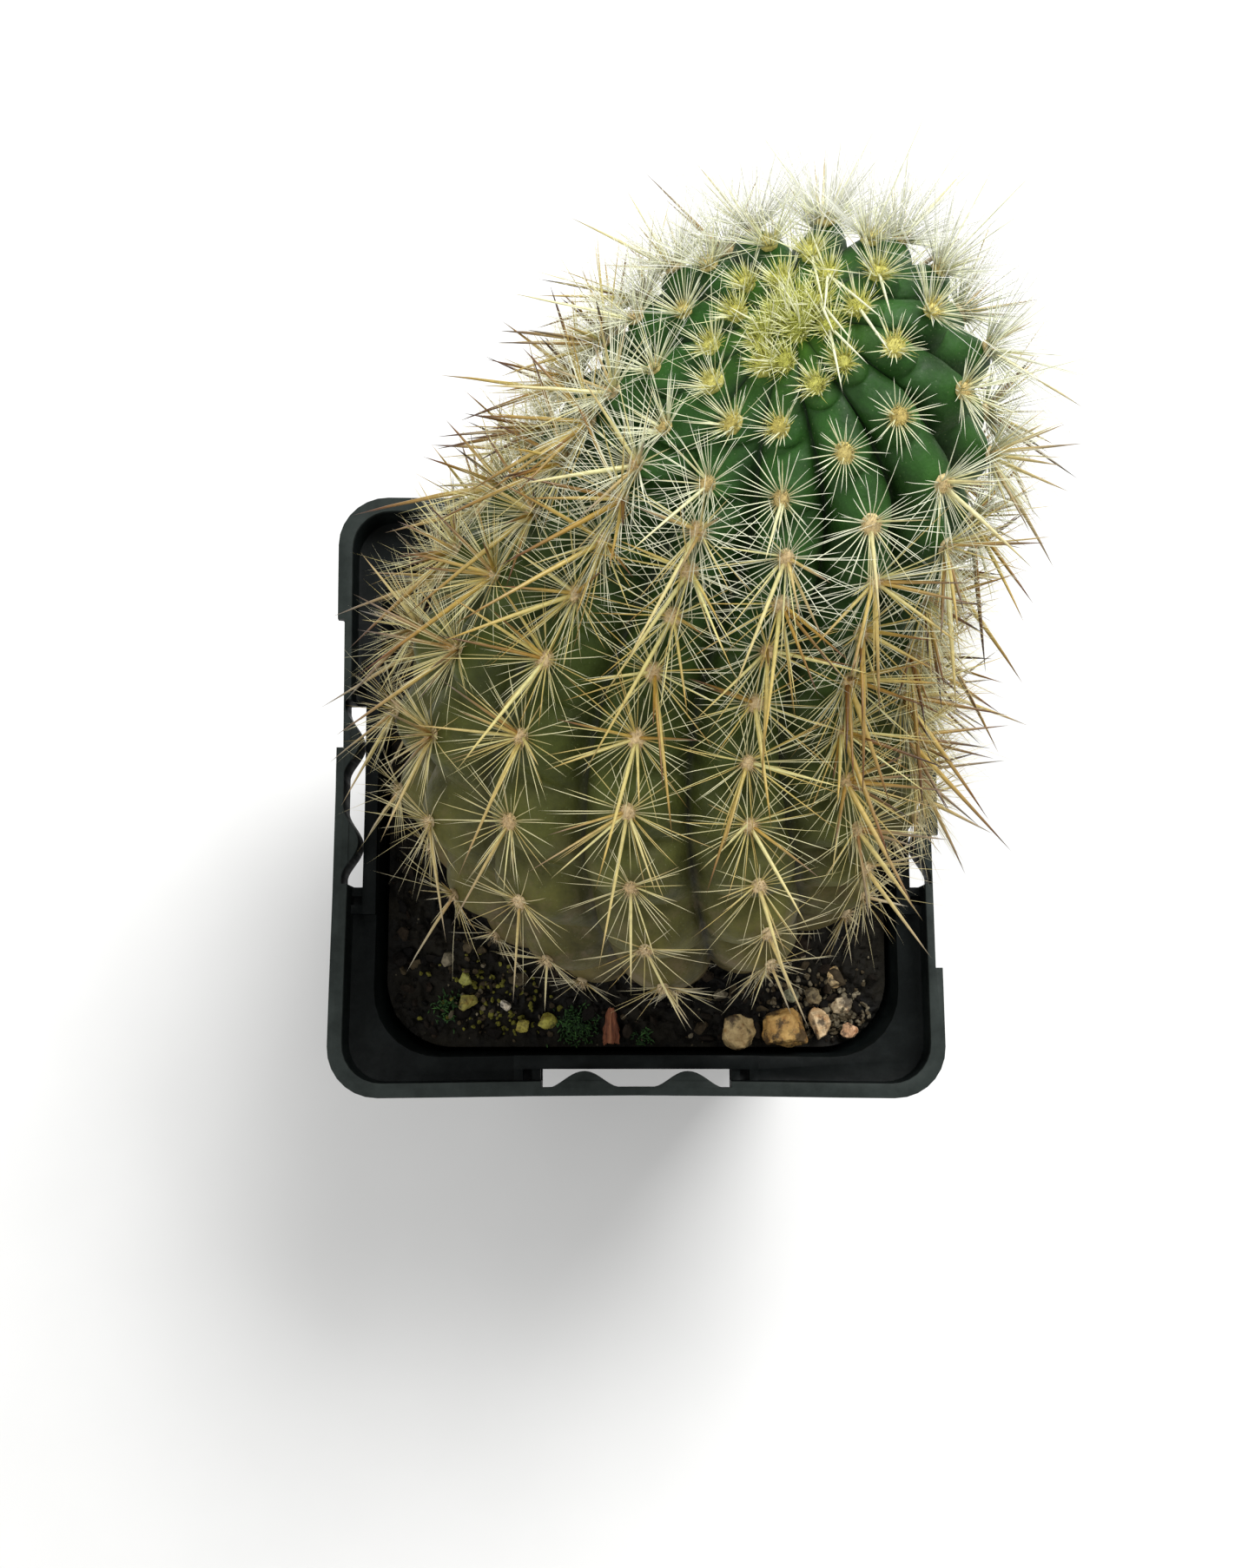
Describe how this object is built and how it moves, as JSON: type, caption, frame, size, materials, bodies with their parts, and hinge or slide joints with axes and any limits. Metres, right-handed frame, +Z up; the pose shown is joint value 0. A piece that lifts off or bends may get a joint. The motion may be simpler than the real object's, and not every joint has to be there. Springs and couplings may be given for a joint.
{
  "type": "potted round cactus",
  "caption": "Short ribbed cactus with golden spines, leaning out of a square nursery pot filled with soil.",
  "frame": {"origin": "centre of the pot's underside", "axes": "+Z up out of the pot's mouth, +Y towards the side the plant leans to, +X to its right"},
  "size_m": [0.0881, 0.1024, 0.1564],
  "materials": {
    "pot_plastic": "moulded, satin black with a faint sheen",
    "soil": "dark crumbly potting mix",
    "stem": "green flesh, grey-brown and corky towards the base, with cream to golden spines",
    "ochre_stone": "worn, rough",
    "pale_stone": "worn, rough",
    "grey_stone": "worn, rough",
    "yellow_grain": "rough mineral grain",
    "bark": "dry, fibrous"
  },
  "bodies": {
    "root": {"pot": "pot_plastic", "soil": "soil", "stem": "stem", "stone_ochre": "ochre_stone", "stone_grey_yellow": "ochre_stone", "stone_pale": "pale_stone", "stone_cream": "pale_stone", "stone_pink": "pale_stone", "stone_green_grey": "grey_stone", "stone_brown": "grey_stone", "grit_tan": "bark", "grain_yellow_1": "yellow_grain", "grain_yellow_2": "yellow_grain", "grain_yellow_3": "yellow_grain", "grain_yellow_4": "yellow_grain", "grain_white": "pale_stone", "bark_flake": "bark"}
  },
  "joints": []
}
